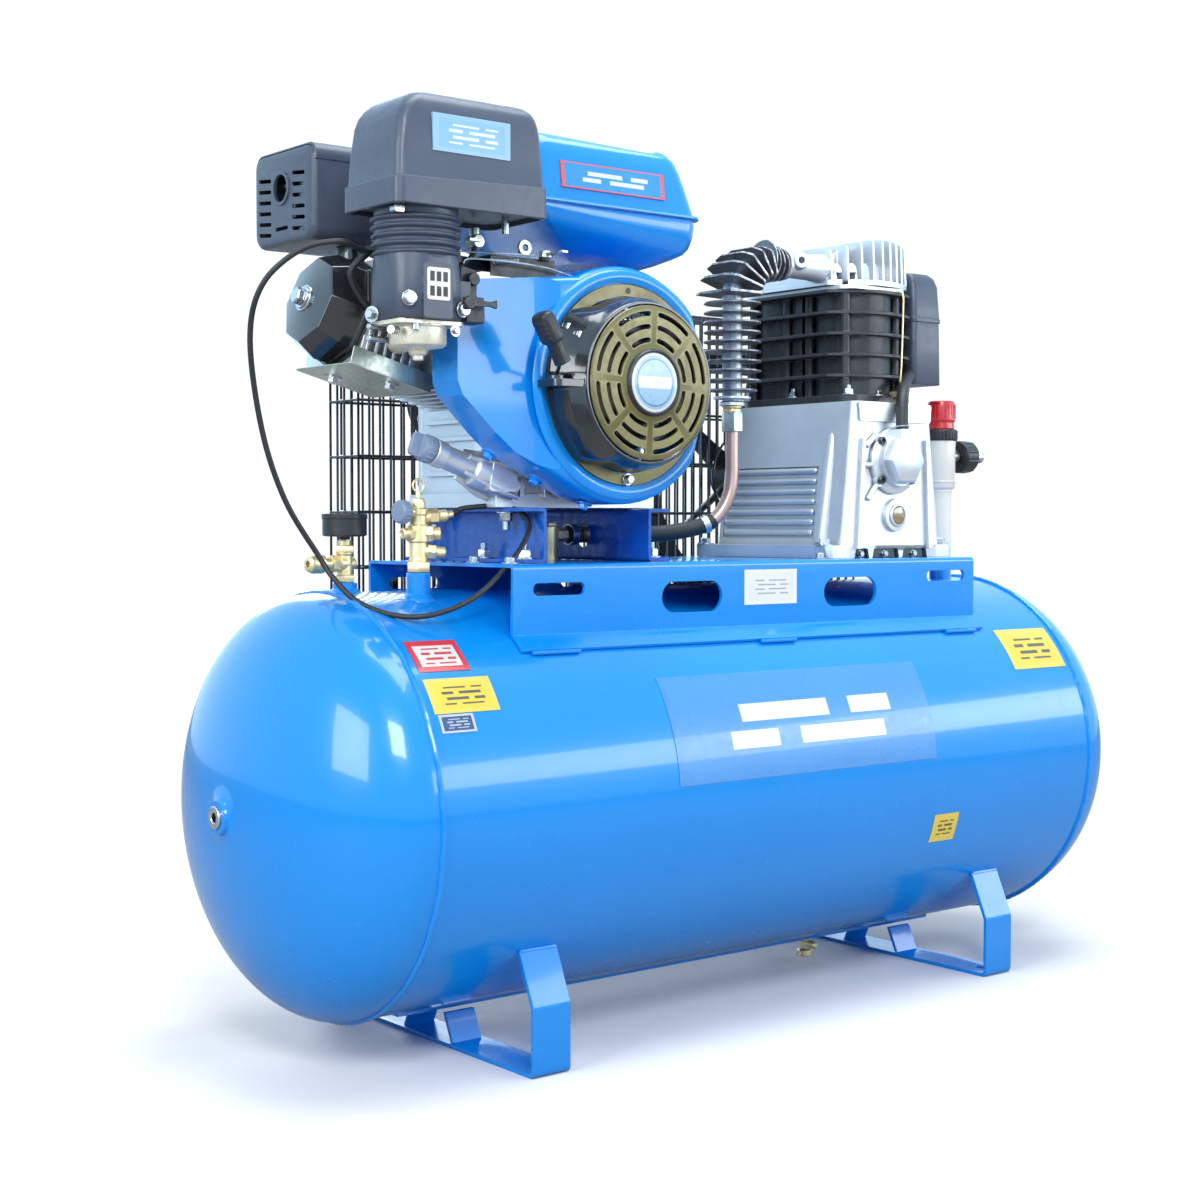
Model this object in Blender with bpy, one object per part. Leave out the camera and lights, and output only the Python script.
"""Petrol-driven twin-cylinder air compressor on a horizontal air tank.

Metres, +Z up. The tank lies along X and the machine's front faces -Y: the
engine's recoil starter and the pump's breather cap are there, and the belt
drive is at the back, at +Y. The origin is on the floor under the tank's middle.
"""

import math

import bmesh
import bpy
from mathutils import Matrix, Vector

GAP = 0.0004  # left between any two pieces that sit against each other

# Air tank
TANK_RADIUS = 0.235
TANK_AXIS_Z = 0.2804
TANK_WALL = 0.0035
SHELL_HALF = 0.5226
HEAD_DEPTH = 0.1244
TANK_SEGMENTS = 32
PORT_LEFT = (-0.430, -0.050)
PORT_GAUGE = (-0.494, 0.0)
PORT_CHECK = (-0.213, 0.0)
PORT_RIGHT = (0.430, -0.050)
PILOT_Z = 0.604  # the pilot valve's adjusting knob
OUTLET_Z = 0.684  # the air outlet's axis
DRAIN_X = 0.221

# Feet and rail under the tank
FOOT_X = 0.367
FOOT_WIDTH = 0.050
FOOT_HALF_SPAN = 0.2105
FOOT_BAR = 0.005
RAIL_TOP_Z = 0.0475  # inside the tank's wall, where the rail is welded on
RAIL_BOTTOM_Z = 0.0368

# Platform on top of the tank
PLATFORM_X = (-0.372, 0.385)
PLATFORM_HALF_Y = 0.148
PLATFORM_TOP_Z = 0.547
PLATE = 0.004

# Engine
CRANK_X, CRANK_Z = -0.231, 0.7455
RAIL_WEBS_X = (-0.309, -0.161)
RAIL_FLANGE = 0.032
ENGINE_BASE_Z = 0.609
TILT = math.radians(15)  # rise of the cylinder above the horizontal
CYLINDER_Y = -0.020
ENGINE_BORE_R = 0.044
ENGINE_THROW = 0.032
ENGINE_ROD = 0.155
HOUSING_FRONT_Y = -0.168
HOUSING_BACK_Y = -0.106
PTO_FACE_Y = 0.103
FUEL_FILLER = (-0.235, -0.040)
CAP_SEAT_Z = 1.0124
INTAKE = (-0.497, -0.150)  # the axis of the intake elbow, in X and Y
EXHAUST = (-0.470, 0.022)  # the exhaust stub, in X and Y
TAILPIPE = (0.054, 0.960)  # the silencer's outlet, in Y and Z

# Pump
PUMP_X, PUMP_Z = 0.250, 0.657
PUMP_CYLINDERS_Y = (-0.053, 0.053)
PUMP_BORE_R = 0.0375
PUMP_THROW = 0.0225
PUMP_ROD = 0.1885
PUMP_CASE_TOP_Z = 0.747
PUMP_BLOCK_TOP_Z = 0.8925
PUMP_HEAD_TOP_Z = 0.960
HEAD_OUTLET_Z = 0.921
COOLER = (0.034, -0.055)  # the aftercooler's upright, in X and Y
COOLER_FOOT_Z = 0.738
HOSE_Z = 0.578  # where the delivery hose runs level to the check valve

# Belt drive
BELT_Y = 0.1740
BELT_WIDTH = 0.017
BELT_DEPTH = 0.011
FLYWHEEL_R = 0.180
ENGINE_PULLEY_R = 0.0600
GROOVE_DEPTH = 0.0125

# Colours
BLUE = (0.020, 0.290, 0.780)
DEEP_BLUE = (0.010, 0.130, 0.520)
DARK_GREY = (0.055, 0.058, 0.068)
BLACK = (0.018, 0.018, 0.020)
ALUMINIUM = (0.620, 0.630, 0.640)
STEEL = (0.480, 0.480, 0.490)
CAST_IRON = (0.030, 0.030, 0.032)
BRASS = (0.720, 0.560, 0.260)
COPPER = (0.720, 0.380, 0.240)
RED = (0.640, 0.020, 0.030)
OLIVE = (0.190, 0.160, 0.060)
WHITE = (0.800, 0.800, 0.780)
RUBBER = (0.022, 0.022, 0.022)


# ---------------------------------------------------------------- shape tools

def finished(bm, transform=None):
    """The bmesh as a mesh, with its faces pointing out."""
    if transform is not None:
        bmesh.ops.transform(bm, matrix=transform, verts=bm.verts)
    bmesh.ops.recalc_face_normals(bm, faces=bm.faces)
    mesh = bpy.data.meshes.new("shape")
    bm.to_mesh(mesh)
    bm.free()
    return mesh


def standing_on(origin, direction):
    """The matrix that takes +Z to a direction and the zero point to an origin."""
    turn = Vector((0, 0, 1)).rotation_difference(Vector(direction).normalized())
    return Matrix.Translation(origin) @ turn.to_matrix().to_4x4()


def box(low, high):
    bm = bmesh.new()
    size = [b - a for a, b in zip(low, high)]
    middle = [(a + b) / 2 for a, b in zip(low, high)]
    bmesh.ops.create_cube(bm, size=1.0)
    scale = Matrix.Diagonal((*size, 1.0))
    return finished(bm, Matrix.Translation(middle) @ scale)


def prism(outline, axis, start, end):
    """A flat outline, given in the other two axes in X, Y, Z order, pushed along an axis."""
    place = "XYZ".index(axis)
    bm = bmesh.new()
    corners = []
    for point in outline:
        corner = list(point)
        corner.insert(place, start)
        corners.append(bm.verts.new(corner))
    face = bm.faces.new(corners)
    grown = bmesh.ops.extrude_face_region(bm, geom=[face])
    moved = [item for item in grown["geom"] if isinstance(item, bmesh.types.BMVert)]
    shift = [0.0, 0.0, 0.0]
    shift[place] = end - start
    bmesh.ops.translate(bm, vec=shift, verts=moved)
    return finished(bm)


def turned(profile, origin, direction, segments=24, closed=True):
    """A (radius, height) profile spun about a direction; an open one starts and ends on the axis."""
    bm = bmesh.new()
    verts = [bm.verts.new((radius, 0, height)) for radius, height in profile]
    pairs = list(zip(verts, verts[1:]))
    if closed:
        pairs.append((verts[-1], verts[0]))
    edges = [bm.edges.new(pair) for pair in pairs]
    bmesh.ops.spin(bm, geom=verts + edges, axis=(0, 0, 1), cent=(0, 0, 0),
                   angle=math.tau, steps=segments, use_merge=True)
    bmesh.ops.remove_doubles(bm, verts=bm.verts, dist=1e-6)
    return finished(bm, standing_on(origin, direction))


def disc(origin, direction, radius, length, segments=20):
    return turned([(0, 0), (radius, 0), (radius, length), (0, length)],
                  origin, direction, segments, closed=False)


def rod(start, end, radius, segments=12):
    along = Vector(end) - Vector(start)
    return disc(start, along, radius, along.length, segments)


def ring(origin, direction, inner, outer, length, segments=24):
    return turned([(inner, 0), (outer, 0), (outer, length), (inner, length)],
                  origin, direction, segments)


def pipe(points, radius, segments=8):
    """A round bar along a smooth path through the points."""
    curve = bpy.data.curves.new("path", "CURVE")
    curve.dimensions = "3D"
    curve.bevel_depth = radius
    curve.bevel_resolution = (segments - 4) // 2
    curve.use_fill_caps = True
    spline = curve.splines.new("POLY")
    spline.points.add(len(points) - 1)
    for place, point in zip(spline.points, points):
        place.co = (*point, 1.0)
    holder = bpy.data.objects.new("path", curve)
    bpy.context.scene.collection.objects.link(holder)
    graph = bpy.context.evaluated_depsgraph_get()
    mesh = bpy.data.meshes.new_from_object(holder.evaluated_get(graph))
    bpy.data.objects.remove(holder)
    bm = bmesh.new()
    bm.from_mesh(mesh)
    bmesh.ops.remove_doubles(bm, verts=bm.verts, dist=1e-6)
    return finished(bm)


def smooth_path(points, steps=5):
    """Points along a Catmull-Rom curve through the given ones."""
    ends = [Vector(p) for p in (points[0], *points, points[-1])]
    path = []
    for a, b, c, d in zip(ends, ends[1:], ends[2:], ends[3:]):
        for step in range(steps):
            t = step / steps
            path.append(0.5 * (2 * b + (c - a) * t + (2 * a - 5 * b + 4 * c - d) * t**2
                               + (3 * b - 3 * c + d - a) * t**3))
    path.append(ends[-1])
    return [tuple(p) for p in path]


def rounded(x0, x1, y0, y1, radius, steps=3):
    """The outline of a rectangle with round corners."""
    outline = []
    for index, (cx, cy) in enumerate(((x1 - radius, y1 - radius), (x0 + radius, y1 - radius),
                                      (x0 + radius, y0 + radius), (x1 - radius, y0 + radius))):
        for step in range(steps + 1):
            angle = math.pi / 2 * (index + step / steps)
            outline.append((cx + radius * math.cos(angle), cy + radius * math.sin(angle)))
    return outline


def slot(x0, x1, z0, z1, y0, y1):
    """A round-ended bar through Y."""
    return prism(rounded(x0, x1, z0, z1, (z1 - z0) / 2 - 1e-5), "Y", y0, y1)


def loft(levels, axis="Z"):
    """A closed skin over outlines of equal point counts, one for each height on the axis."""
    place = "XYZ".index(axis)
    bm = bmesh.new()
    rings = []
    for height, outline in levels:
        row = []
        for point in outline:
            corner = list(point)
            corner.insert(place, height)
            row.append(bm.verts.new(corner))
        rings.append(row)
    for lower, upper in zip(rings, rings[1:]):
        for i in range(len(lower)):
            j = (i + 1) % len(lower)
            bm.faces.new((lower[i], lower[j], upper[j], upper[i]))
    bm.faces.new(rings[0])
    bm.faces.new(rings[-1])
    return finished(bm)


def boolean(base, others, operation):
    """The base mesh joined with, or cut by, each of the others."""
    scene = bpy.context.scene.collection.objects
    host = bpy.data.objects.new("host", base)
    scene.link(host)
    tools = []
    for other in others:
        tool = bpy.data.objects.new("tool", other)
        scene.link(tool)
        tools.append(tool)
        modifier = host.modifiers.new("boolean", "BOOLEAN")
        modifier.operation = operation
        modifier.object = tool
    graph = bpy.context.evaluated_depsgraph_get()
    result = bpy.data.meshes.new_from_object(host.evaluated_get(graph))
    for helper in (host, *tools):
        bpy.data.objects.remove(helper)
    return result


def joined(base, *others):
    return boolean(base, others, "UNION")


def cut(base, *others):
    return boolean(base, others, "DIFFERENCE")


def tilted(mesh, origin, direction):
    """A mesh modelled along +Z, stood on an origin and turned to a direction."""
    mesh.transform(standing_on(origin, direction))
    return mesh


def material(name, colour, roughness, metallic):
    made = bpy.data.materials.new(name)
    made.use_nodes = True
    shader = made.node_tree.nodes["Principled BSDF"]
    shader.inputs["Base Color"].default_value = (*colour, 1.0)
    shader.inputs["Roughness"].default_value = roughness
    shader.inputs["Metallic"].default_value = metallic
    return made


def node(name, mesh, colour, roughness=0.4, metallic=0.0, pivot=(0.0, 0.0, 0.0)):
    """Puts a mesh in the scene as one named piece, with its origin on its pivot."""
    mesh.transform(Matrix.Translation(-Vector(pivot)))
    mesh.name = name
    mesh.materials.clear()
    mesh.materials.append(material(name, colour, roughness, metallic))
    mesh.shade_smooth()
    mesh.set_sharp_from_angle(angle=math.radians(35))
    made = bpy.data.objects.new(name, mesh)
    made.location = pivot
    bpy.context.scene.collection.objects.link(made)
    return made


# ----------------------------------------------------------------- air tank

def tank_cutter(clearance):
    return turned([(0, -0.8), (TANK_RADIUS + clearance, -0.8),
                   (TANK_RADIUS + clearance, 0.8), (0, 0.8)],
                  (0, 0, TANK_AXIS_Z), (1, 0, 0), TANK_SEGMENTS, closed=False)


def tank_shell():
    """The rolled shell with its welded sockets and the rail along its underside."""
    inner = TANK_RADIUS - TANK_WALL
    shell = turned([(inner, -SHELL_HALF), (TANK_RADIUS, -SHELL_HALF),
                    (TANK_RADIUS, SHELL_HALF), (inner, SHELL_HALF)],
                   (0, 0, TANK_AXIS_Z), (1, 0, 0), TANK_SEGMENTS)
    rail = box((-0.440, -0.020, RAIL_BOTTOM_Z), (0.440, 0.020, RAIL_TOP_Z))
    sockets = [rail]
    bores = []
    for (x, y), radius, top in ((PORT_LEFT, 0.0135, 0.5370), (PORT_GAUGE, 0.0135, 0.5260),
                                (PORT_CHECK, 0.0150, 0.5300), (PORT_RIGHT, 0.0150, 0.5300)):
        sockets.append(rod((x, y, 0.500), (x, y, top), radius, 14))
        bores.append(rod((x, y, 0.480), (x, y, 0.560), 0.0075, 10))
    bores.append(rod((DRAIN_X, 0, 0.070), (DRAIN_X, 0, 0.020), 0.0060, 10))
    return cut(joined(shell, *sockets), *bores)


def tank_head(side):
    boss, bore, steps = 0.019, 0.0085, 5
    outer, inner = [], []
    for step in range(steps + 1):
        radius = TANK_RADIUS * math.cos(step / steps * math.acos(boss / TANK_RADIUS))
        rise = math.sqrt(1 - (radius / TANK_RADIUS) ** 2)
        outer.append((radius, HEAD_DEPTH * rise))
    inside = TANK_RADIUS - TANK_WALL
    for step in range(steps + 1):
        radius = inside * math.cos(step / steps * math.acos(bore / inside))
        rise = math.sqrt(1 - (radius / inside) ** 2)
        inner.append((radius, (HEAD_DEPTH - TANK_WALL) * rise))
    tip = HEAD_DEPTH + 0.006
    profile = outer + [(boss, tip), (bore, tip)] + inner[::-1]
    seam = side * (SHELL_HALF + GAP)
    return turned(profile, (seam, 0, TANK_AXIS_Z), (side, 0, 0), TANK_SEGMENTS)


def foot(middle_x):
    """One flat bar bent into a base, two legs and two slanted ends, with two struts to the rail."""
    half, bar = FOOT_HALF_SPAN, FOOT_BAR
    bend_z, end_z, end_y = 0.0766, 0.136, 0.1845
    right = [(half, 0.0), (half, bend_z), (end_y, end_z), (end_y - bar, end_z - 0.003),
             (half - bar, bend_z - 0.001), (half - bar, bar)]
    outline = right + [(-y, z) for y, z in reversed(right)]
    x0, x1 = middle_x - FOOT_WIDTH / 2, middle_x + FOOT_WIDTH / 2
    frame = prism(outline, "X", x0, x1)
    struts = []
    for side in (-1, 1):
        low, high, top = side * 0.052, side * 0.036, RAIL_BOTTOM_Z - GAP
        outline = [(low, 0.003), (low - side * bar, 0.003), (high - side * bar, top), (high, top)]
        struts.append(prism(outline, "X", middle_x - 0.020, middle_x + 0.020))
    holes = [rod((middle_x, side * 0.180, -0.01), (middle_x, side * 0.180, 0.02), 0.006, 10)
             for side in (-1, 1)]
    return cut(joined(frame, *struts), *holes, tank_cutter(GAP))


def drain_valve():
    """A brass elbow under the tank that lets condensate out towards the front."""
    body = rod((DRAIN_X, 0, 0.0364), (DRAIN_X, 0, 0.0190), 0.0085, 10)
    spout = rod((DRAIN_X, -0.020, 0.026), (DRAIN_X, 0, 0.026), 0.0050, 8)
    return joined(body, spout)


def drain_knob():
    knob = rod((DRAIN_X, 0, 0.0186), (DRAIN_X, 0, 0.0100), 0.0110, 12)
    return joined(knob, box((DRAIN_X - 0.016, -0.003, 0.0110), (DRAIN_X + 0.016, 0.003, 0.0160)))


def platform():
    """A bent steel saddle: a flat top, two flanges, and lips that lie on the tank."""
    lip_in, lip_out = TANK_RADIUS + 0.0012, TANK_RADIUS + 0.0050
    start = math.asin((PLATFORM_HALF_Y - PLATE) / lip_out)
    end = math.asin(0.1655 / lip_out)
    half, top = PLATFORM_HALF_Y, PLATFORM_TOP_Z
    flange_foot = TANK_AXIS_Z + lip_out * math.cos(math.asin(half / lip_out))

    def on_tank(radius, angle):
        return radius * math.sin(angle), TANK_AXIS_Z + radius * math.cos(angle)

    right = [(half, top), (half, flange_foot), on_tank(lip_out, end), on_tank(lip_in, end),
             on_tank(lip_in, start), (half - PLATE, top - PLATE)]
    outline = right + [(-y, z) for y, z in reversed(right)]
    saddle = prism(outline, "X", *PLATFORM_X)
    openings = [slot(x0, x1, z0, z1, -0.2, 0.2)
                for x0, x1, z0, z1 in ((-0.160, -0.066, 0.488, 0.524), (0.104, 0.198, 0.488, 0.524),
                                       (-0.345, -0.273, 0.512, 0.526), (0.293, 0.366, 0.516, 0.530))]
    x, y = PORT_CHECK
    openings.append(rod((x, y, 0.535), (x, y, 0.555), 0.0175, 12))
    return cut(saddle, *openings, tank_cutter(GAP))


# ------------------------------------------------------------ tank fittings

def check_valve():
    """The non-return valve where the delivery hose enters the tank."""
    x, y = PORT_CHECK
    body = turned([(0, 0.5304), (0.0145, 0.5304), (0.0145, 0.562), (0.0125, 0.566),
                   (0.0125, 0.588), (0.0090, 0.593), (0, 0.593)], (x, y, 0), (0, 0, 1), 12, False)
    return joined(body, rod((x, y, HOSE_Z), (x + 0.026, y, HOSE_Z), 0.0080, 10))


def gauge_cross():
    """A brass cross on the tank: the gauge on top and a quick coupling to the left."""
    x, y = PORT_GAUGE
    stem = turned([(0, 0.5264), (0.0110, 0.5264), (0.0110, 0.534), (0.0085, 0.536),
                   (0.0085, 0.556), (0.0105, 0.558), (0.0105, 0.566), (0.0080, 0.568),
                   (0.0080, 0.573), (0, 0.573)], (x, y, 0), (0, 0, 1), 12, False)
    coupling = turned([(0, 0), (0.0090, 0), (0.0090, 0.020), (0.0065, 0.022), (0.0065, 0.030),
                       (0.0105, 0.032), (0.0105, 0.048), (0.0070, 0.052), (0, 0.052)],
                      (x, y, 0.547), (-1, -0.15, 0), 12, False)
    return joined(stem, coupling)


def pressure_gauge():
    """A cup with its dial facing up, open at the top over the needle."""
    x, y = PORT_GAUGE
    return turned([(0, 0.5734), (0.0060, 0.5734), (0.0060, 0.577), (0.0250, 0.577),
                   (0.0250, 0.602), (0.0225, 0.602), (0.0225, 0.595), (0.0020, 0.595),
                   (0.0020, 0.5985), (0, 0.5985)], (x, y, 0), (0, 0, 1), 24, False)


def gauge_needle():
    x, y = PORT_GAUGE
    pointer = prism([(x - 0.0016, y), (x - 0.0120, y - 0.0125), (x, y - 0.0016)], "Z",
                    0.5990, 0.6000)
    return joined(rod((x, y, 0.5990), (x, y, 0.6005), 0.0030, 10), pointer)


def manifold():
    """The brass pilot valve on the left port, with its outlets."""
    x, y = PORT_LEFT
    column = turned([(0, 0.5374), (0.0125, 0.5374), (0.0125, 0.548), (0.0100, 0.550),
                     (0.0100, 0.600), (0.0085, 0.604), (0.0085, 0.619), (0, 0.619)],
                    (x, y, 0), (0, 0, 1), 12, False)
    arms = [rod((x, y, 0.598), (x + 0.034, y - 0.006, 0.600), 0.0075, 10),
            rod((x, y, 0.580), (x + 0.020, y - 0.014, 0.580), 0.0080, 10),
            rod((x, y, 0.562), (x + 0.026, y - 0.016, 0.560), 0.0070, 10),
            rod((x, y, 0.580), (x - 0.022, y - 0.003, 0.580), 0.0070, 10),
            rod((x, y, PILOT_Z), (x - 0.016, y - 0.002, PILOT_Z), 0.0060, 10)]
    return joined(column, *arms)


def pilot_knob():
    x, y = PORT_LEFT
    start = Vector((x - 0.0165, y - 0.0021, PILOT_Z))
    return tilted(disc((0, 0, 0), (0, 0, 1), 0.0125, 0.013, 12), start, (-1, -0.125, 0))


def safety_ring():
    """The pull ring and stem of the safety valve, on top of the left column."""
    x, y = PORT_LEFT
    loop = ring((x, y + 0.0015, 0.6330), (0, -1, 0), 0.0055, 0.0085, 0.003, 12)
    return joined(loop, rod((x, y, 0.6194), (x, y, 0.6265), 0.0025, 8))


def outlet_regulator():
    """The riser on the right port with the regulator body and the outlet valve."""
    x, y = PORT_RIGHT
    body = turned([(0, 0.5304), (0.0165, 0.5304), (0.0165, 0.545), (0.0150, 0.548),
                   (0.0155, 0.636), (0.0195, 0.640), (0.0205, 0.705), (0.0220, 0.707),
                   (0.0220, 0.7205), (0, 0.7205)], (x, y, 0), (0, 0, 1), 20, False)
    outlet = turned([(0, 0), (0.0100, 0), (0.0100, 0.030), (0.0072, 0.031), (0.0072, 0.060),
                     (0.0095, 0.061), (0.0095, 0.078), (0.0070, 0.084), (0, 0.084)],
                    (x, y, OUTLET_Z), (1, 0, 0), 12, False)
    return joined(body, outlet)


def regulator_knob():
    x, y = PORT_RIGHT
    return turned([(0, 0.7210), (0.0195, 0.7210), (0.0195, 0.7260), (0.0180, 0.7280),
                   (0.0185, 0.7570), (0.0165, 0.7600), (0, 0.7600)], (x, y, 0), (0, 0, 1), 20, False)


def tap_knob():
    x, y = PORT_RIGHT
    return ring((x + 0.0330, y, OUTLET_Z), (1, 0, 0), 0.0078, 0.0220, 0.0240, 14)


# ------------------------------------------------------------- engine rails

def engine_rail(web_x, opening):
    """A channel along Y that opens towards +X or -X."""
    low, high, wall = PLATFORM_TOP_Z + GAP, ENGINE_BASE_Z - GAP, PLATE * opening
    x0, x1 = web_x, web_x + RAIL_FLANGE * opening
    outline = [(x0, low), (x1, low), (x1, low + PLATE), (x0 + wall, low + PLATE),
               (x0 + wall, high - PLATE), (x1, high - PLATE), (x1, high), (x0, high)]
    return prism(outline, "Y", -0.125, 0.115)


def right_engine_rail():
    rail = engine_rail(RAIL_WEBS_X[1], 1)
    x = RAIL_WEBS_X[1]
    return cut(rail, rod((x - 0.01, 0.0, HOSE_Z), (x + 0.014, 0.0, HOSE_Z), 0.0155, 12))


# ---------------------------------------------------------- engine internals

AWAY = Vector((-math.cos(TILT), 0, math.sin(TILT)))  # from the crank to the cylinder head
CRANK = Vector((CRANK_X, 0, CRANK_Z))
CYLINDER = Vector((CRANK_X, CYLINDER_Y, CRANK_Z))


def along_cylinder(distance):
    return CYLINDER + AWAY * distance


def engine_block_section(start, end, half_y, half_z, radius=0.012):
    """A round-cornered block around the cylinder axis, from one distance to another."""
    outline = rounded(-half_z, half_z, -half_y, half_y, radius, 2)
    block = prism(outline, "Z", 0, end - start)
    return tilted(block, along_cylinder(start), AWAY)


FILLER_INNER = Vector((-0.3250, -0.0780, 0.6340))
FILLER_MOUTH = Vector((-0.4320, -0.0800, 0.6700))
FILLER_AXIS = (FILLER_MOUTH - FILLER_INNER).normalized()


def engine_crankcase():
    """The crankcase with the finned barrel, the oil filler neck and the mounting feet."""
    case = prism([(-0.338, ENGINE_BASE_Z + 0.014), (-0.132, ENGINE_BASE_Z + 0.014),
                  (-0.132, 0.790), (-0.175, 0.835), (-0.290, 0.845), (-0.338, 0.800)],
                 "Y", -0.085, 0.082)
    foot_plate = box((-0.352, -0.088, ENGINE_BASE_Z), (-0.122, 0.088, ENGINE_BASE_Z + 0.016))
    barrel = tilted(disc((0, 0, 0), (0, 0, 1), 0.052, 0.215, 24), CYLINDER, AWAY)
    fins = [engine_block_section(start, start + 0.004, 0.062, 0.058)
            for start in (0.126, 0.150, 0.174)]
    deck = engine_block_section(0.207, 0.215, 0.060, 0.056)
    neck = rod(FILLER_INNER, FILLER_MOUTH, 0.017, 12)
    solid = joined(case, foot_plate, barrel, *fins, deck, neck)
    cavity = prism([(-0.326, 0.632), (-0.144, 0.632), (-0.144, 0.784), (-0.180, 0.823),
                    (-0.285, 0.833), (-0.326, 0.795)], "Y", -0.075, 0.095)
    bore = tilted(disc((0, 0, 0), (0, 0, 1), ENGINE_BORE_R, 0.240, 24), CYLINDER, AWAY)
    journal = rod((CRANK_X, -0.100, CRANK_Z), (CRANK_X, -0.06, CRANK_Z), 0.0180, 20)
    filler = rod(FILLER_INNER - FILLER_AXIS * 0.02, FILLER_MOUTH + FILLER_AXIS * 0.02, 0.0100, 10)
    return cut(solid, cavity, bore, journal, filler)


def engine_side_cover():
    """The cast cover that closes the crankcase on the belt side."""
    start, end = 0.082 + GAP, PTO_FACE_Y
    plate = prism([(-0.338, 0.626), (-0.132, 0.626), (-0.132, 0.790), (-0.175, 0.835),
                   (-0.290, 0.845), (-0.338, 0.800)], "Y", start, start + 0.008)
    hub = turned([(0, 0), (0.075, 0), (0.058, end - start), (0, end - start)],
                 (CRANK_X, start, CRANK_Z), (0, 1, 0), 24, False)
    shaft = rod((CRANK_X, 0.05, CRANK_Z), (CRANK_X, 0.15, CRANK_Z), 0.0180, 20)
    hollow = rod((CRANK_X, 0.05, CRANK_Z), (CRANK_X, 0.089, CRANK_Z), 0.050, 20)
    return cut(joined(plate, hub), shaft, hollow)


def crank_web(axis_point, pin_direction, throw, y0, y1, radius):
    """A flat web from the journal to the crankpin, with its counterweight behind."""
    across = Vector((pin_direction[2], 0, -pin_direction[0]))
    outline = []
    for forward, sideways in ((throw + 0.013, 0.010), (throw + 0.013, -0.010),
                              (0.0, -radius * 0.75), (-radius * 0.75, -radius * 0.66),
                              (-radius, 0.0), (-radius * 0.75, radius * 0.66),
                              (0.0, radius * 0.75)):
        point = Vector(axis_point) + Vector(pin_direction) * forward + across * sideways
        outline.append((point.x, point.z))
    return prism(outline, "Y", y0, y1)


def engine_crankshaft():
    """A one-throw crank with its pin towards the cylinder, and a long shaft for the pulley."""
    x, z, y = CRANK_X, CRANK_Z, CYLINDER_Y
    pin = CRANK + AWAY * ENGINE_THROW
    pieces = [rod((x, -0.160, z), (x, y - 0.014, z), 0.0160, 20),
              rod((x, y + 0.014, z), (x, 0.120, z), 0.0160, 20),
              rod((x, 0.100, z), (x, 0.1950, z), 0.0127, 20),
              rod((pin.x, y - 0.020, pin.z), (pin.x, y + 0.020, pin.z), 0.0150, 20)]
    webs = [crank_web(CRANK, AWAY, ENGINE_THROW, y - 0.026, y - 0.0125, 0.045),
            crank_web(CRANK, AWAY, ENGINE_THROW, y + 0.0125, y + 0.026, 0.045)]
    return joined(webs[0], webs[1], pieces[3], pieces[0], pieces[1], pieces[2])


def connecting_rod(pin_point, direction, length, big_bore, big_outer, small_outer, width):
    """A rod between two eyes; the big one turns on the crankpin."""
    pin_point, direction = Vector(pin_point), Vector(direction)
    small = pin_point + direction * length
    half = Vector((0, width / 2, 0))
    eyes = [rod(pin_point - half, pin_point + half, big_outer, 18),
            rod(small - half, small + half, small_outer, 14)]
    across = Vector((direction.z, 0, -direction.x)) * 0.0055
    outline = []
    for point in (pin_point - across, pin_point + across, small + across, small - across):
        outline.append((point.x, point.z))
    middle = pin_point.y
    shank = prism(outline, "Y", middle - width / 3, middle + width / 3)
    bore = rod(pin_point - half * 2, pin_point + half * 2, big_bore, 24)
    eye = rod(small - half * 2, small + half * 2, small_outer * 0.55, 10)
    return cut(joined(shank, *eyes), bore, eye)


def piston(centre, direction, radius, height, wall):
    """A crown with a thin skirt, open towards the crank."""
    profile = [(0, 0), (radius, 0), (radius, -height), (radius - wall, -height),
               (radius - wall, -wall - 0.002), (0, -wall - 0.002)]
    return turned(profile, centre, direction, 24, False)


def engine_conrod():
    pin = CYLINDER + AWAY * ENGINE_THROW
    return connecting_rod(pin, AWAY, ENGINE_ROD, 0.0156, 0.0220, 0.0088, 0.022)


def engine_piston():
    crown = along_cylinder(ENGINE_THROW + ENGINE_ROD + 0.020)
    return piston(crown, AWAY, ENGINE_BORE_R - 0.0008, 0.034, 0.0045)


def engine_cylinder_head():
    block = engine_block_section(0.215 + GAP, 0.284, 0.054, 0.050)
    fins = [engine_block_section(start, start + 0.004, 0.062, 0.058)
            for start in (0.230, 0.254, 0.278)]
    chamber = tilted(disc((0, 0, 0), (0, 0, 1), 0.036, 0.030, 16), along_cylinder(0.20), AWAY)
    port = rod((*EXHAUST, 0.900), (*EXHAUST, 0.800), 0.011, 10)
    return cut(joined(block, *fins), chamber, port)


def rocker_cover():
    """An eight-sided dish that closes the valve gear."""
    start, radius = 0.284 + GAP, 0.060
    profile = [(radius, 0), (radius, 0.022), (radius * 0.80, 0.047), (0, 0.052),
               (0, 0.048), (radius * 0.74, 0.042), (radius - 0.004, 0.020), (radius - 0.004, 0)]
    dish = turned(profile, (0, 0, 0), (0, 0, 1), 8)
    bolt = disc((0, 0, 0.046), (0, 0, 1), 0.0080, 0.012, 8)
    return tilted(joined(dish, bolt), along_cylinder(start), AWAY)


def engine_flywheel():
    """The fan wheel behind the recoil starter."""
    disc_back = turned([(0.0166, 0), (0.082, 0), (0.082, -0.008), (0.030, -0.008),
                        (0.030, -0.026), (0.0166, -0.026)],
                       (CRANK_X, -0.118, CRANK_Z), (0, 1, 0), 24)
    blades = []
    for index in range(10):
        angle = math.tau * index / 10
        blade = box((0.050, -0.146, -0.0015), (0.0800, -0.122, 0.0015))
        turn = Matrix.Rotation(angle, 4, "Y")
        blade.transform(Matrix.Translation(CRANK) @ turn)
        blades.append(blade)
    return joined(disc_back, *blades)


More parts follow.
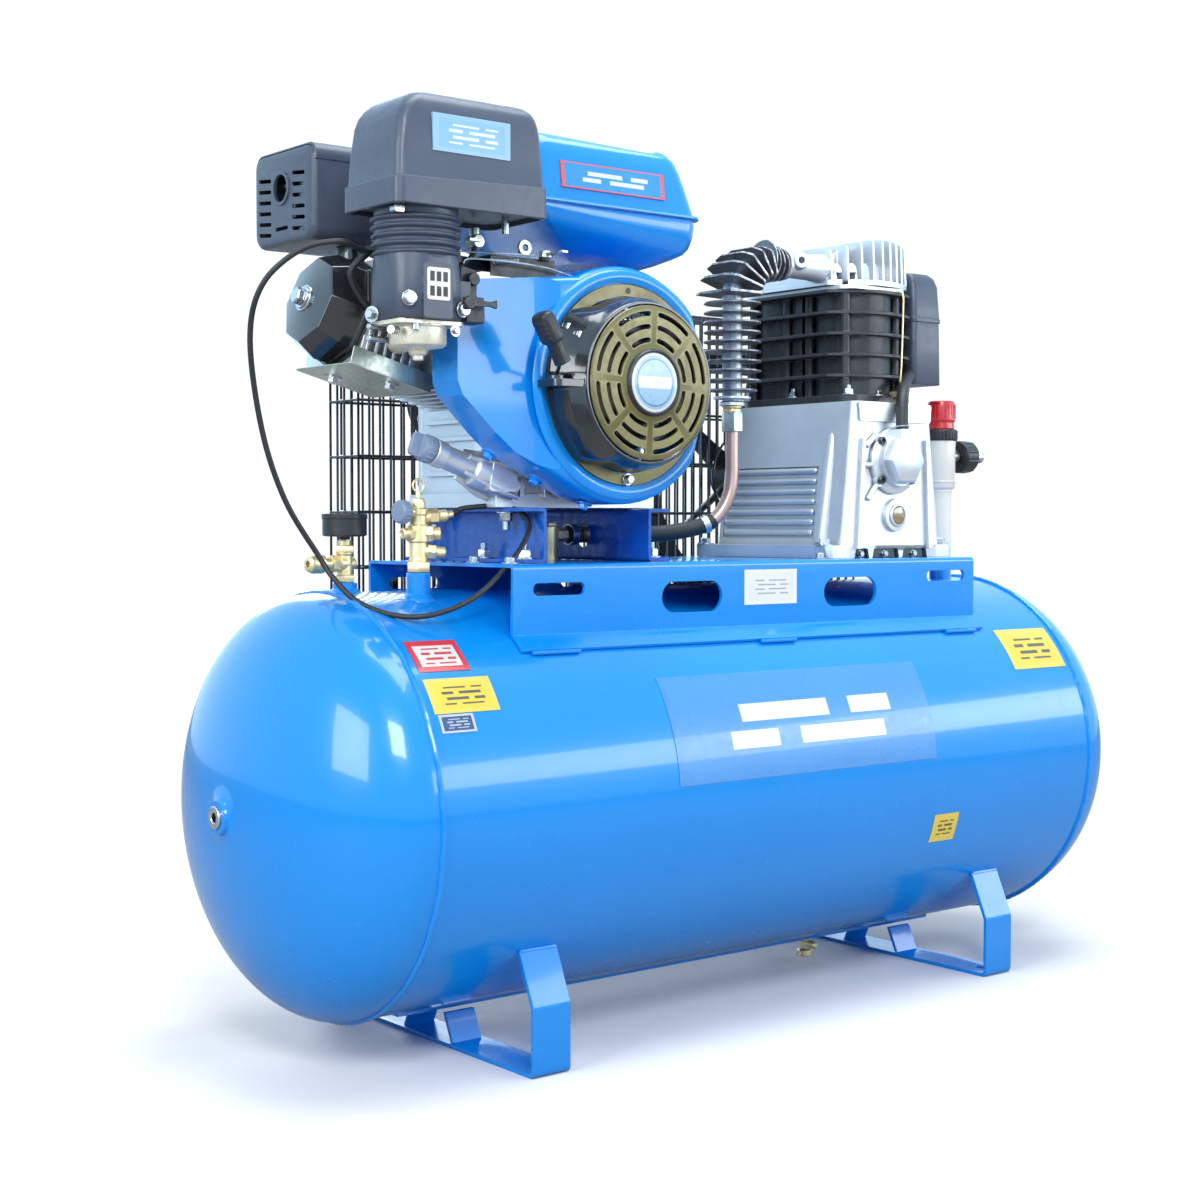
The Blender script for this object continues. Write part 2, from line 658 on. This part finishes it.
# --------------------------------------------------------- engine coverings

def housing_outline(shrink):
    """The blower housing's front outline: a circle round the crank, drawn out to the head."""
    radius = 0.133 - shrink
    points = []
    for step in range(17):
        angle = math.radians(-118 + step * 236 / 16)
        points.append((CRANK_X + radius * math.cos(angle), CRANK_Z + radius * math.sin(angle)))
    points += [(-0.420, 0.850 - shrink), (-0.448 + shrink, 0.838 - shrink),
               (-0.448 + shrink, 0.700 + shrink)]
    return points


def blower_housing():
    outer = prism(housing_outline(0), "Y", HOUSING_FRONT_Y, HOUSING_BACK_Y)
    hollow = prism(housing_outline(0.003), "Y", HOUSING_FRONT_Y + 0.003, 0.0)
    opening = rod((CRANK_X, -0.2, CRANK_Z), (CRANK_X, -0.1, CRANK_Z), 0.0860, 32)
    return cut(outer, hollow, opening)


def recoil_cover():
    """The starter's black drum with its flange ring and rope outlet."""
    front = HOUSING_FRONT_Y - GAP
    drum = turned([(0.1120, 0), (0.1120, 0.003), (0.0970, 0.004), (0.0940, 0.030), (0.0900, 0.042),
                   (0.0860, 0.042), (0.0860, 0.038), (0.0880, 0.028), (0.0910, 0.003),
                   (0.0870, 0)], (CRANK_X, front, CRANK_Z), (0, -1, 0), 28)
    outlet = box((CRANK_X - 0.128, front - 0.040, 0.735), (CRANK_X - 0.088, front - 0.002, 0.757))
    bore = rod((CRANK_X, front - 0.06, CRANK_Z), (CRANK_X, front + 0.01, CRANK_Z), 0.0880, 28)
    return joined(drum, cut(outlet, bore))


def recoil_vent_disk():
    """The ventilated disc that closes the drum, with eight spokes and a label in the middle."""
    y = HOUSING_FRONT_Y - GAP - 0.042
    plate = turned([(0, 0), (0.0850, 0), (0.0850, -0.0030), (0.0070, -0.0030),
                    (0.0070, -0.0140), (0, -0.0140)], (CRANK_X, y, CRANK_Z), (0, -1, 0), 32, False)
    windows = []
    for index in range(8):
        middle = math.tau * (index + 0.5) / 8
        outline = []
        for radius, sides in ((0.045, (-1, 0, 1)), (0.078, (1, 0, -1))):
            for side in sides:
                angle = middle + side * (0.392 - 0.005 / radius)
                outline.append((CRANK_X + radius * math.cos(angle),
                                CRANK_Z + radius * math.sin(angle)))
        windows.append(prism(outline, "Y", y - 0.01, y + 0.01))
    return cut(plate, *windows)


def recoil_reel():
    """The rope reel that turns on the vent disc's hub."""
    y = HOUSING_FRONT_Y - GAP - 0.034
    return turned([(0.0076, 0), (0.0700, 0), (0.0700, 0.004), (0.0560, 0.005), (0.0560, 0.013),
                   (0.0700, 0.014), (0.0700, 0.018), (0.0076, 0.018)],
                  (CRANK_X, y, CRANK_Z), (0, 1, 0), 24)


HANDLE_ROOT = Vector((-0.3600, -0.2210, 0.7600))
HANDLE_LEAN = Vector((-0.50, 0.0, 0.866))


def recoil_handle():
    """A T-shaped grip that leans on the rope outlet."""
    stem = tilted(prism(rounded(-0.008, 0.008, -0.009, 0.009, 0.004, 2), "Z", 0.0, 0.030),
                  HANDLE_ROOT, HANDLE_LEAN)
    bar = tilted(prism(rounded(-0.0090, 0.0090, -0.0130, 0.0130, 0.005, 2), "Z", 0.024, 0.058),
                 HANDLE_ROOT, HANDLE_LEAN)
    return joined(stem, bar)


def engine_pulley():
    width, r = 0.030, ENGINE_PULLEY_R
    inner, groove = 0.0132, GROOVE_DEPTH
    half, foot_half = BELT_WIDTH / 2 + 0.0006, BELT_WIDTH / 2 - 0.0022
    profile = [(inner, -width / 2), (r, -width / 2), (r, -half), (r - groove, -foot_half),
               (r - groove, foot_half), (r, half), (r, width / 2), (inner, width / 2)]
    return turned(profile, (CRANK_X, BELT_Y, CRANK_Z), (0, 1, 0), 28)


def fuel_tank():
    """A pressed tank of two halves, with a seam flange, raised ends and a filler neck in the dip."""
    def level(z, inset, radius=0.030):
        return z, rounded(-0.354 + inset, -0.102 - inset, -0.152 + inset, 0.070 - inset, radius)

    outer = loft([level(0.884, 0.034), level(0.898, 0.014), level(0.940, 0.002),
                  level(0.990, 0.006), level(1.007, 0.016)])
    flange = prism(level(0, -0.005)[1], "Z", 0.9425, 0.9455)
    inside = loft([level(0.8865, 0.036), level(0.899, 0.0165), level(0.940, 0.0045),
                   level(0.988, 0.0085), level(1.0045, 0.019)])
    ends = []
    for x0, x1, x2, x3 in ((-0.340, -0.334, -0.312, -0.296), (-0.116, -0.122, -0.144, -0.160)):
        ends.append(prism([(x0, 1.000), (x1, 1.020), (x2, 1.020), (x3, 1.000)], "Y", -0.126, 0.044))
    x, y = FUEL_FILLER
    neck = rod((x, y, 0.995), (x, y, CAP_SEAT_Z - GAP), 0.027, 20)
    filler = rod((x, y, 0.98), (x, y, 1.04), 0.021, 16)
    return cut(joined(outer, flange, neck, *ends), inside, filler)


def fuel_cap():
    """A ribbed cap that twists on the filler neck."""
    return turned([(0, -0.014), (0.0190, -0.014), (0.0190, 0), (0.0300, 0), (0.0300, 0.009),
                   (0.0270, 0.013), (0, 0.013)], (*FUEL_FILLER, CAP_SEAT_Z), (0, 0, 1), 20, False)


def air_cleaner():
    """The air cleaner's case: a deep cover, open below on its base's throat."""
    def level(z, inset, radius):
        return z, rounded(-0.553 + inset, -0.362 - inset, -0.202 + inset, -0.094 - inset, radius)

    outer = loft([level(0.912, 0.000, 0.022), level(0.990, 0.004, 0.022),
                  level(1.014, 0.010, 0.024), level(1.030, 0.026, 0.026)])
    inside = loft([level(0.916, 0.004, 0.020), level(0.989, 0.007, 0.020),
                   level(1.012, 0.013, 0.021), level(1.027, 0.028, 0.023)])
    throat = rod((*INTAKE, 0.90), (*INTAKE, 0.93), 0.028, 16)
    return cut(outer, inside, throat)


def intake_duct():
    """The ribbed elbow from the air cleaner down to the carburettor."""
    profile = [(0.030, 0.862), (0.044, 0.862)]
    for index in range(3):
        z = 0.868 + index * 0.014
        profile += [(0.046, z), (0.046, z + 0.006), (0.042, z + 0.007), (0.042, z + 0.013)]
    profile += [(0.044, 0.9115), (0.030, 0.9115)]
    bellows = turned(profile, (*INTAKE, 0), (0, 0, 1), 16)
    chamber = loft([(0.800, rounded(-0.537, -0.457, -0.188, -0.112, 0.018)),
                    (0.868, rounded(-0.540, -0.454, -0.192, -0.108, 0.022))])
    hollow = rod((*INTAKE, 0.812), (*INTAKE, 0.88), 0.030, 16)
    return joined(bellows, cut(chamber, hollow))


def carburettor():
    """The metal body behind the intake elbow, with its float bowl."""
    bowl = turned([(0, 0.760), (0.0060, 0.760), (0.0090, 0.770), (0.0270, 0.773), (0.0300, 0.778),
                   (0.0300, 0.7955), (0, 0.7955)], (-0.495, -0.150, 0), (0, 0, 1), 20, False)
    flange = box((-0.535, -0.180, 0.792), (-0.455, -0.120, 0.7995))
    runner = rod((-0.495, -0.140, 0.784), (-0.478, -0.086, 0.784), 0.012, 12)
    return joined(bowl, flange, runner)


CHOKE_PIVOT = Vector((-0.4630, -0.1935, 0.8180))
THROTTLE_PIVOT = Vector((-0.3300, -0.1500, 0.8840))


def choke_lever():
    """A small lever on the front of the intake elbow."""
    x, y, z = CHOKE_PIVOT
    hub = rod((x, y - 0.007, z), (x, y, z), 0.0070, 12)
    return joined(hub, box((x, y - 0.006, z - 0.003), (x + 0.034, y - 0.002, z + 0.003)))


def throttle_lever():
    """The speed control lever above the blower housing."""
    x, y, z = THROTTLE_PIVOT
    hub = rod((x, y, z - 0.004), (x, y, z + 0.003), 0.0080, 12)
    arm = box((x - 0.003, y - 0.036, z - 0.002), (x + 0.003, y, z + 0.001))
    return joined(hub, arm)


def muffler():
    """The silencer can, with its inlet flange."""
    can = loft([(-0.524, rounded(0.000, 0.108, 0.904, 0.994, 0.016)),
                (-0.405, rounded(0.000, 0.108, 0.904, 0.994, 0.016))], "X")
    pipe_down = rod((*EXHAUST, 0.910), (*EXHAUST, 0.8760), 0.015, 12)
    inlet = rod((*EXHAUST, 0.925), (*EXHAUST, 0.860), 0.011, 10)
    outlet = rod((-0.530, *TAILPIPE), (-0.500, *TAILPIPE), 0.013, 12)
    return cut(joined(can, pipe_down), inlet, outlet)


def muffler_shield():
    """A pressed guard round the left end of the silencer, with a hole for the outlet."""
    low, high, front, back = 0.898, 1.002, -0.014, 0.116
    outer = loft([(-0.540, rounded(front, back, low, high, 0.018)),
                  (-0.440, rounded(front, back, low, high, 0.018))], "X")
    hollow = loft([(-0.5375, rounded(front + 0.0025, back - 0.0025, low + 0.0025,
                                     high - 0.0025, 0.016)),
                   (-0.400, rounded(front + 0.0025, back - 0.0025, low + 0.0025,
                                    high - 0.0025, 0.016))], "X")
    hole = rod((-0.56, *TAILPIPE), (-0.51, *TAILPIPE), 0.0150, 14)
    passage = rod((*EXHAUST, 0.880), (*EXHAUST, 0.904), 0.0170, 14)
    slits = []
    for row in range(6):
        z = 0.910 + row * 0.015
        for y0, y1 in ((0.004, 0.034), (0.072, 0.102)):
            slits.append(box((-0.55, y0, z), (-0.53, y1, z + 0.005)))
    return cut(outer, hollow, hole, passage, *slits)


def oil_dipstick():
    """A screw cap with a measuring stick that reaches into the sump."""
    cap = disc((0, 0, 0), (0, 0, 1), 0.0170, 0.020, 14)
    wing = box((-0.015, -0.003, 0.016), (0.015, 0.003, 0.032))
    stick = disc((0, 0, -0.085), (0, 0, 1), 0.0035, 0.090, 8)
    return tilted(joined(cap, wing, stick), FILLER_MOUTH + FILLER_AXIS * GAP, FILLER_AXIS)


# --------------------------------------------------------------------- pump

def pump_crankcase():
    """A tapered casting on a foot, open on top under the cylinders."""
    low = PLATFORM_TOP_Z + GAP
    top = PUMP_CASE_TOP_Z
    walls = prism([(0.156, low), (0.344, low), (0.322, top), (0.178, top)], "Y", -0.128, 0.112)
    foot_plate = box((0.132, -0.128, low), (0.368, 0.128, low + 0.016))
    boss = rod((PUMP_X, 0.10, PUMP_Z), (PUMP_X, 0.126, PUMP_Z), 0.044, 24)
    ribs = []
    for side in (-1, 1):
        for index in range(5):
            z = 0.574 + index * 0.023
            reach = 0.094 - (z - low) * 0.11 + 0.004
            edge = PUMP_X + side * reach
            ribs.append(box((min(edge, PUMP_X), -0.090, z), (max(edge, PUMP_X), 0.100, z + 0.006)))
    cavity = prism([(0.164, low + 0.020), (0.336, low + 0.020), (0.315, top - 0.010),
                    (0.185, top - 0.010)], "Y", -0.118, 0.100)
    openings = [rod((PUMP_X, y, top - 0.03), (PUMP_X, y, top + 0.02), 0.0400, 24)
                for y in PUMP_CYLINDERS_Y]
    openings.append(rod((PUMP_X, 0.09, PUMP_Z), (PUMP_X, 0.14, PUMP_Z), 0.0175, 20))
    openings.append(rod((PUMP_X, -0.15, PUMP_Z), (PUMP_X, -0.11, PUMP_Z), 0.0175, 20))
    return cut(joined(walls, foot_plate, boss, *ribs), cavity, *openings)


def pump_breather_cap():
    """The hexagonal cap over the front bearing, with the breather's stub on top."""
    y = -0.128 - GAP
    plate = turned([(0, 0), (0.040, 0), (0.040, 0.006), (0.029, 0.008), (0.027, 0.024),
                    (0.018, 0.034), (0, 0.034)], (PUMP_X - 0.003, y, 0.672), (0, -1, 0), 6, False)
    return joined(plate, rod((PUMP_X - 0.003, y - 0.018, 0.685),
                             (PUMP_X - 0.003, y - 0.018, 0.712), 0.0075, 10))


def fin_outline(half_x, half_y, corner):
    return rounded(PUMP_X - half_x, PUMP_X + half_x, -half_y, half_y, corner, 2)


def pump_cylinder_block():
    """Both barrels in one iron casting with flat cooling fins."""
    low, high = PUMP_CASE_TOP_Z + GAP, PUMP_BLOCK_TOP_Z
    core = prism(fin_outline(0.052, 0.098, 0.035), "Z", low, high)
    fins = [prism(fin_outline(0.062, 0.104, 0.030), "Z", low, low + 0.010)]
    pitch = (high - low - 0.010) / 5
    for index in range(1, 6):
        z = low + 0.006 + index * pitch
        fins.append(prism(fin_outline(0.070, 0.112, 0.034), "Z", z, z + 0.004))
    bores = [rod((PUMP_X, y, low - 0.01), (PUMP_X, y, high + 0.01), PUMP_BORE_R, 24)
             for y in PUMP_CYLINDERS_Y]
    return cut(joined(core, *fins), *bores)


def pump_valve_plate():
    low = PUMP_BLOCK_TOP_Z + GAP
    plate = prism(fin_outline(0.060, 0.104, 0.030), "Z", low, low + 0.005)
    holes = [rod((PUMP_X + side * 0.018, y, low - 0.01), (PUMP_X + side * 0.018, y, low + 0.02),
                 0.009, 10) for y in PUMP_CYLINDERS_Y for side in (-1, 1)]
    return cut(plate, *holes)


def pump_head():
    """The finned head, with a suction and a delivery chamber open to the valve plate."""
    low = PUMP_BLOCK_TOP_Z + 0.005 + 2 * GAP
    body = prism(fin_outline(0.066, 0.110, 0.030), "Z", low, low + 0.026)
    fins = []
    for index in range(11):
        x = PUMP_X - 0.060 + index * 0.012
        fins.append(box((x - 0.002, -0.108, low + 0.020), (x + 0.002, 0.108, PUMP_HEAD_TOP_Z)))
    outlet = rod((PUMP_X - 0.050, COOLER[1], HEAD_OUTLET_Z), (PUMP_X - 0.092, COOLER[1], HEAD_OUTLET_Z),
                 0.016, 14)
    chambers = [box((PUMP_X + side * 0.030 - 0.022, -0.090, low - 0.01),
                    (PUMP_X + side * 0.030 + 0.022, 0.090, low + 0.017)) for side in (-1, 1)]
    return cut(joined(body, *fins, outlet), *chambers)


def pump_crankshaft():
    """A two-throw crank: the front pin up, the rear pin down."""
    x, z = PUMP_X, PUMP_Z
    axis = Vector((x, 0, z))
    front, rear = PUMP_CYLINDERS_Y
    up, down = Vector((0, 0, 1)), Vector((0, 0, -1))
    parts = [rod((x, -0.122, z), (x, front - 0.012, z), 0.0165, 20),
             rod((x, front + 0.012, z), (x, rear - 0.012, z), 0.0165, 20),
             rod((x, rear + 0.012, z), (x, 0.130, z), 0.0165, 20),
             rod((x, 0.110, z), (x, 0.195, z), 0.0150, 20)]
    pins = [rod((x, front - 0.016, z + PUMP_THROW), (x, front + 0.016, z + PUMP_THROW), 0.0130, 20),
            rod((x, rear - 0.016, z - PUMP_THROW), (x, rear + 0.016, z - PUMP_THROW), 0.0130, 20)]
    webs = []
    for middle, direction in ((front, up), (rear, down)):
        webs.append(crank_web(axis, direction, PUMP_THROW, middle - 0.022, middle - 0.0105, 0.034))
        webs.append(crank_web(axis, direction, PUMP_THROW, middle + 0.0105, middle + 0.022, 0.034))
    return joined(webs[0], *webs[1:], *pins, *parts)


def pump_conrod(middle_y, direction):
    pin = (PUMP_X, middle_y, PUMP_Z + direction * PUMP_THROW)
    return connecting_rod(pin, (0, 0, 1), PUMP_ROD, 0.0136, 0.0190, 0.0085, 0.018)


def pump_piston(middle_y):
    crown = (PUMP_X, middle_y, PUMP_Z + PUMP_THROW + PUMP_ROD + 0.018)
    return piston(crown, (0, 0, 1), PUMP_BORE_R - 0.0008, 0.030, 0.0040)


def pump_flywheel():
    """The big pulley with five twisted spokes that blow air over the pump."""
    r, half_width = FLYWHEEL_R, 0.018
    half, foot_half = BELT_WIDTH / 2 + 0.0006, BELT_WIDTH / 2 - 0.0022
    rim = turned([(r - 0.024, -half_width), (r, -half_width), (r, -half),
                  (r - GROOVE_DEPTH, -foot_half), (r - GROOVE_DEPTH, foot_half), (r, half),
                  (r, half_width), (r - 0.024, half_width)],
                 (PUMP_X, BELT_Y, PUMP_Z), (0, 1, 0), 40)
    hub = ring((PUMP_X, BELT_Y - 0.020, PUMP_Z), (0, 1, 0), 0.0154, 0.034, 0.040, 20)
    spokes = []
    for index in range(5):
        blade = box((0.028, -0.0035, -0.018), (r - 0.020, 0.0035, 0.018))
        twist = Matrix.Rotation(math.radians(28), 4, "X")
        turn = Matrix.Rotation(math.tau * index / 5, 4, "Y")
        blade.transform(Matrix.Translation((PUMP_X, BELT_Y, PUMP_Z)) @ turn @ twist)
        spokes.append(blade)
    return joined(rim, hub, *spokes)


def pump_air_filter():
    """The intake silencer box on the head's right, with its short inlet stub."""
    case = loft([(0.777, rounded(0.3280, 0.3840, -0.092, 0.000, 0.006, 2)),
                 (0.925, rounded(0.3280, 0.3810, -0.090, -0.002, 0.006, 2))])
    mouth = box((0.340, -0.10, 0.800), (0.372, -0.080, 0.830))
    return cut(case, mouth)


def finned_tube(length, first, count, pitch, tube_r, fin_r):
    """The closed profile of a bar with evenly spaced round fins, starting on its axis."""
    profile = [(0, 0), (tube_r, 0)]
    for index in range(count):
        low = first + index * pitch
        profile += [(tube_r, low), (fin_r, low), (fin_r, low + 0.003), (tube_r, low + 0.003)]
    return profile + [(tube_r, length), (0, length)]


def aftercooler():
    """The finned pipe that carries hot air from the head down the pump's left side."""
    (x_low, y), top_z, bend = COOLER, HEAD_OUTLET_Z, 0.048
    path = []
    for degrees in range(0, 91, 15):
        angle = math.radians(degrees)
        path.append((x_low + bend - bend * math.sin(angle), y,
                     top_z - bend + bend * math.cos(angle)))
    elbow = pipe(path, 0.0123, 10)
    upright = turned(finned_tube(0.140, 0.014, 6, 0.0232, 0.0127, 0.035),
                     (x_low, y, COOLER_FOOT_Z), (0, 0, 1), 12, False)
    level = turned(finned_tube(0.0765, 0.012, 3, 0.015, 0.0127, 0.034),
                   (x_low + bend - 0.001, y, top_z), (1, 0, 0), 12, False)
    fins = []
    for angle in (26, 60):
        turn = math.radians(angle)
        out = Vector((-math.cos(turn), 0, math.sin(turn)))
        middle = Vector((x_low + bend, y, top_z - bend)) + out * bend
        across = Vector((math.sin(turn), 0, math.cos(turn)))
        fins.append(disc(middle, across, 0.032, 0.003, 12))
    return joined(upright, level, elbow, *fins)


def delivery_pipe():
    """Copper pipe and hose from the aftercooler, through the rail's web, to the check valve."""
    x, y = COOLER
    nut = rod((x, y, COOLER_FOOT_Z - 0.0006), (x, y, 0.704), 0.0135, 6)
    copper = rod((x, y, 0.710), (x, y, 0.640), 0.0080, 12)
    path = smooth_path([(x, y, 0.655), (x, y, 0.632), (0.026, -0.052, 0.608),
                        (0.000, -0.042, 0.590), (-0.040, -0.022, 0.580), (-0.085, -0.004, HOSE_Z),
                        (-0.130, 0.0, HOSE_Z), (-0.1855, 0.0, HOSE_Z)], 3)
    return joined(pipe(path, 0.0115, 12), copper, nut)


# --------------------------------------------------------------- belt drive

def belt_path(radius_engine, radius_pump, steps=10):
    """The outline of a loop round both pulleys at the given radii."""
    engine = Vector((CRANK_X, CRANK_Z))
    pump = Vector((PUMP_X, PUMP_Z))
    line = pump - engine
    base = math.atan2(line.y, line.x)
    lean = math.acos((radius_engine - radius_pump) / line.length)
    outline = []
    for step in range(steps + 1):
        angle = base + lean + (math.tau - 2 * lean) * step / steps
        outline.append(engine + radius_engine * Vector((math.cos(angle), math.sin(angle))))
    for step in range(steps * 2 + 1):
        angle = base - lean + 2 * lean * step / (steps * 2)
        outline.append(pump + radius_pump * Vector((math.cos(angle), math.sin(angle))))
    return outline


def drive_belt():
    """A V-belt that sits a hair above the grooves of both pulleys."""
    inset = GROOVE_DEPTH - 0.0008
    small = (ENGINE_PULLEY_R - inset + 0.0006, FLYWHEEL_R - inset + 0.0006)
    large = (small[0] + BELT_DEPTH, small[1] + BELT_DEPTH)
    inner = belt_path(*small)
    outer = belt_path(*large)
    foot_half, half = BELT_WIDTH / 2 - 0.0030, BELT_WIDTH / 2 - 0.0006
    bm = bmesh.new()
    sections = []
    for near, far in zip(inner, outer):
        section = [(near.x, BELT_Y - foot_half, near.y), (far.x, BELT_Y - half, far.y),
                   (far.x, BELT_Y + half, far.y), (near.x, BELT_Y + foot_half, near.y)]
        sections.append([bm.verts.new(corner) for corner in section])
    for here, there in zip(sections, sections[1:] + sections[:1]):
        for i in range(4):
            j = (i + 1) % 4
            bm.faces.new((here[i], here[j], there[j], there[i]))
    return finished(bm)


GUARD_X = (-0.385, 0.470)
GUARD_Y = (0.1495, 0.2180)
GUARD_Z = (0.4690, 0.8760)


def belt_guard():
    """The wire cage over the belt: edge bars, uprights on both faces, and two stays to the platform."""
    wire = 0.0035
    (x0, x1), (y0, y1), (z0, z1) = GUARD_X, GUARD_Y, GUARD_Z
    bars = []
    for y in (y0, y1 - wire):
        for z in (z0, 0.560, z1 - wire):
            bars.append(box((x0, y, z), (x1, y + wire, z + wire)))
        for index in range(8):
            x = x0 + (x1 - wire - x0) * index / 7
            bars.append(box((x, y, z0), (x + wire, y + wire, z1)))
    for x in (x0, x1 - wire):
        for z in (z0, z1 - wire):
            bars.append(box((x, y0, z), (x + wire, y1, z + wire)))
    return joined(bars[0], *bars[1:])


# -------------------------------------------------------------- the assembly

def clear_scene():
    for old in list(bpy.data.objects):
        bpy.data.objects.remove(old)


def build_tank():
    node("tank_shell", tank_shell(), BLUE, 0.22)
    node("tank_head_left", tank_head(-1), BLUE, 0.22)
    node("tank_head_right", tank_head(1), BLUE, 0.22)
    node("foot_left", foot(-FOOT_X), BLUE, 0.25)
    node("foot_right", foot(FOOT_X), BLUE, 0.25)
    node("platform", platform(), BLUE, 0.25)
    node("drain_valve", drain_valve(), BRASS, 0.3, 1.0)
    node("drain_knob", drain_knob(), BRASS, 0.3, 1.0, (DRAIN_X, 0, 0.0143))


def build_fittings():
    gauge = (*PORT_GAUGE, 0.599)
    left = (*PORT_LEFT, PILOT_Z)
    right = (*PORT_RIGHT, 0.721)
    node("check_valve", check_valve(), STEEL, 0.35, 1.0)
    node("gauge_cross", gauge_cross(), BRASS, 0.3, 1.0)
    node("pressure_gauge", pressure_gauge(), BLACK, 0.4)
    node("gauge_needle", gauge_needle(), RED, 0.5, 0.0, gauge)
    node("manifold", manifold(), BRASS, 0.3, 1.0)
    node("pilot_knob", pilot_knob(), (0.35, 0.42, 0.55), 0.5, 0.0, left)
    node("safety_ring", safety_ring(), STEEL, 0.3, 1.0, left)
    node("outlet_regulator", outlet_regulator(), WHITE, 0.35, 0.6)
    node("regulator_knob", regulator_knob(), RED, 0.4, 0.0, right)
    node("tap_knob", tap_knob(), BLACK, 0.45, 0.0, (*PORT_RIGHT, OUTLET_Z))


def build_engine():
    crank_pin = CYLINDER + AWAY * ENGINE_THROW
    node("engine_rail_left", engine_rail(RAIL_WEBS_X[0], -1), DEEP_BLUE, 0.3)
    node("engine_rail_right", right_engine_rail(), DEEP_BLUE, 0.3)
    node("engine_crankcase", engine_crankcase(), ALUMINIUM, 0.45, 0.8)
    node("engine_side_cover", engine_side_cover(), ALUMINIUM, 0.45, 0.8)
    node("engine_crankshaft", engine_crankshaft(), STEEL, 0.3, 1.0, CRANK)
    node("engine_conrod", engine_conrod(), ALUMINIUM, 0.4, 0.9, crank_pin)
    node("engine_piston", engine_piston(), ALUMINIUM, 0.4, 0.9)
    node("engine_cylinder_head", engine_cylinder_head(), ALUMINIUM, 0.45, 0.8)
    node("rocker_cover", rocker_cover(), BLACK, 0.35)
    node("engine_flywheel", engine_flywheel(), CAST_IRON, 0.5, 0.6, CRANK)
    node("engine_pulley", engine_pulley(), CAST_IRON, 0.4, 0.6, CRANK)
    node("oil_dipstick", oil_dipstick(), DARK_GREY, 0.5, 0.0, FILLER_MOUTH)


def build_coverings():
    node("blower_housing", blower_housing(), BLUE, 0.2)
    node("recoil_cover", recoil_cover(), BLACK, 0.3)
    node("recoil_vent_disk", recoil_vent_disk(), OLIVE, 0.4, 0.3)
    node("recoil_reel", recoil_reel(), BLACK, 0.5, 0.0, CRANK)
    node("recoil_handle", recoil_handle(), BLACK, 0.5, 0.0, HANDLE_ROOT)
    node("fuel_tank", fuel_tank(), BLUE, 0.18)
    node("fuel_cap", fuel_cap(), BLACK, 0.45, 0.0, (*FUEL_FILLER, CAP_SEAT_Z))
    node("air_cleaner", air_cleaner(), DARK_GREY, 0.5)
    node("intake_duct", intake_duct(), DARK_GREY, 0.5)
    node("carburettor", carburettor(), ALUMINIUM, 0.4, 0.9)
    node("choke_lever", choke_lever(), BLACK, 0.4, 0.0, CHOKE_PIVOT)
    node("throttle_lever", throttle_lever(), STEEL, 0.3, 1.0, THROTTLE_PIVOT)
    node("muffler", muffler(), STEEL, 0.5, 0.8)
    node("muffler_shield", muffler_shield(), DARK_GREY, 0.5)


def build_pump():
    front, rear = PUMP_CYLINDERS_Y
    axis = (PUMP_X, 0.0, PUMP_Z)
    up, down = PUMP_Z + PUMP_THROW, PUMP_Z - PUMP_THROW
    node("pump_crankcase", pump_crankcase(), ALUMINIUM, 0.4, 0.8)
    node("pump_breather_cap", pump_breather_cap(), ALUMINIUM, 0.35, 0.8)
    node("pump_cylinder_block", pump_cylinder_block(), CAST_IRON, 0.55, 0.3)
    node("pump_valve_plate", pump_valve_plate(), STEEL, 0.35, 1.0)
    node("pump_head", pump_head(), ALUMINIUM, 0.4, 0.8)
    node("pump_crankshaft", pump_crankshaft(), STEEL, 0.3, 1.0, axis)
    node("pump_flywheel", pump_flywheel(), CAST_IRON, 0.45, 0.4, axis)
    node("pump_conrod_front", pump_conrod(front, 1), ALUMINIUM, 0.4, 0.9, (PUMP_X, front, up))
    node("pump_conrod_rear", pump_conrod(rear, -1), ALUMINIUM, 0.4, 0.9, (PUMP_X, rear, down))
    node("pump_piston_front", pump_piston(front), ALUMINIUM, 0.4, 0.9)
    node("pump_piston_rear", pump_piston(rear), ALUMINIUM, 0.4, 0.9)
    node("pump_air_filter", pump_air_filter(), BLACK, 0.45)
    node("aftercooler", aftercooler(), ALUMINIUM, 0.4, 0.8)
    node("delivery_pipe", delivery_pipe(), COPPER, 0.3, 0.9)
    node("drive_belt", drive_belt(), RUBBER, 0.8)
    node("belt_guard", belt_guard(), BLACK, 0.4)


clear_scene()
build_tank()
build_fittings()
build_engine()
build_coverings()
build_pump()
